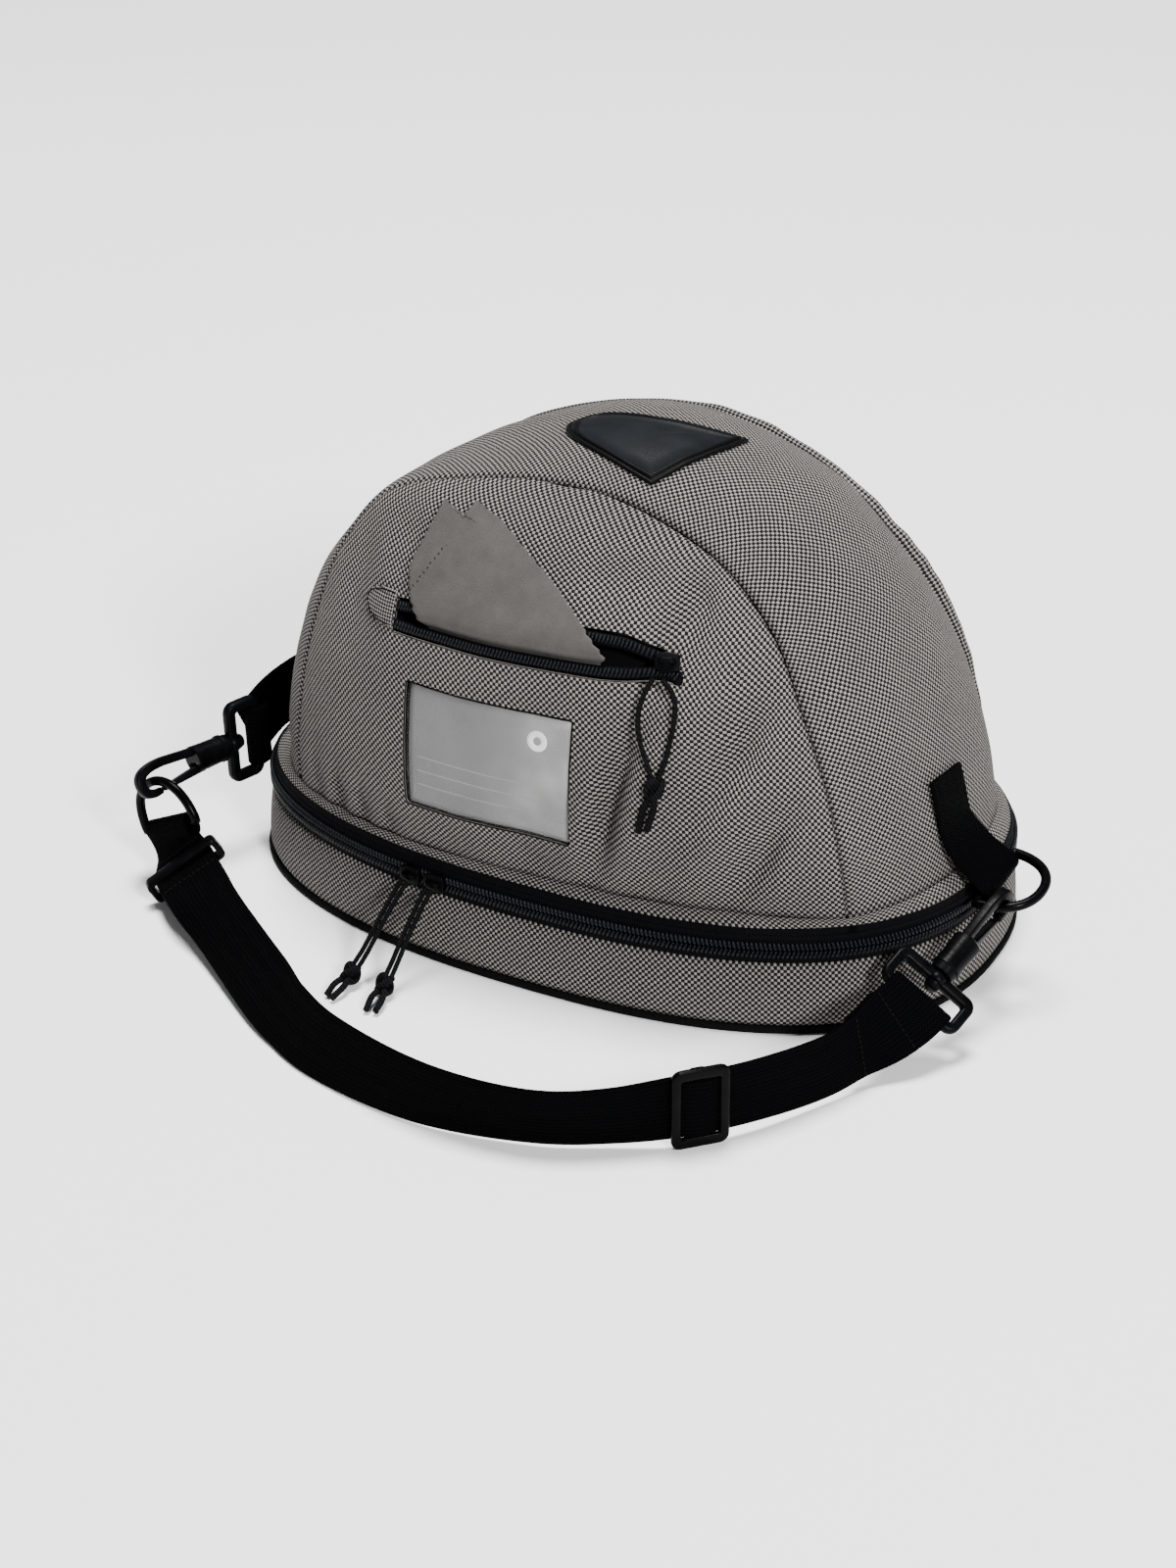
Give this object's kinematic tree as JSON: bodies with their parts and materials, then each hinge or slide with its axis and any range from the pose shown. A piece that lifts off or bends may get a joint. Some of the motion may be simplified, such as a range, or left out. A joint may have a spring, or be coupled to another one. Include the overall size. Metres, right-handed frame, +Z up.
{
  "type": "riding helmet bag",
  "caption": "Soft dome-shaped riding helmet bag with an oval base, zip round the rim, front pocket, card window and a hooked shoulder strap lying in front.",
  "frame": {"origin": "centre of the bottom panel's underside, on the surface the bag stands on", "axes": "+Z up, +X along the oval towards the end with the tab ring, -Y towards the pocket and card window"},
  "size_m": [0.4097, 0.3473, 0.2282],
  "materials": {
    "cloth": "coarse two-tone weave, warm light grey on black",
    "black_cloth": "plain black weave",
    "zip": "ribbed coil tape, bluish black",
    "webbing": "ribbed black webbing",
    "plastic": "satin dark grey",
    "rubber": "matte slate black",
    "polish": "short grey nap with pinked edges",
    "card": "grey card with faint ruled lines",
    "pane": "clear soft film",
    "cord": "braided black cord"
  },
  "bodies": {
    "bag": {"front_panel": "cloth", "top_band": "cloth", "rear_panel": "cloth", "hem": "cloth", "bottom_panel": "black_cloth", "base_piping": "black_cloth", "base_wall": "cloth", "zip_lower": "zip", "zip_upper": "zip", "hinge_strip": "cloth", "window_pane": "pane", "card": "card", "pocket_back": "black_cloth", "pocket_zip_lower": "zip", "pocket_zip_upper": "zip", "pocket_end_tab": "cloth", "zip_slider_left": "plastic", "zip_slider_right": "plastic", "pocket_slider": "plastic", "polishing_cloth": "polish", "badge": "rubber", "pocket_pull_strand_1": "cord", "pocket_pull_strand_2": "cord", "pocket_pull_knot": "cord", "zip_pull_left_strand_1": "cord", "zip_pull_left_strand_2": "cord", "zip_pull_left_knot": "cord", "zip_pull_right_strand_1": "cord", "zip_pull_right_strand_2": "cord", "zip_pull_right_knot": "cord", "tab_right": "webbing", "ring_right": "plastic", "hook_frame_right": "plastic", "hook_body_right": "plastic", "tab_left": "webbing", "hook_frame_left": "plastic", "hook_body_left": "plastic", "ring_left": "plastic", "strap": "webbing", "keeper": "plastic", "adjuster": "plastic"},
    "gate_left": {"hook_gate_left": "plastic"},
    "gate_right": {"hook_gate_right": "plastic"}
  },
  "joints": [
    {"name": "gate_left_hinge", "type": "hinge", "parent": "bag", "child": "gate_left", "pos_m": [-0.1835, -0.07679, 0.04857], "axis": [-0.8283, 0.337, -0.4476], "range_deg": [0, 15], "stiffness_Nm_per_rad": 0.02, "springref_deg": -5.73},
    {"name": "gate_right_hinge", "type": "hinge", "parent": "bag", "child": "gate_right", "pos_m": [0.18219, -0.05635, 0.03402], "axis": [0.9681, -0.2245, -0.1112], "range_deg": [0, 15], "stiffness_Nm_per_rad": 0.02, "springref_deg": -5.73}
  ]
}
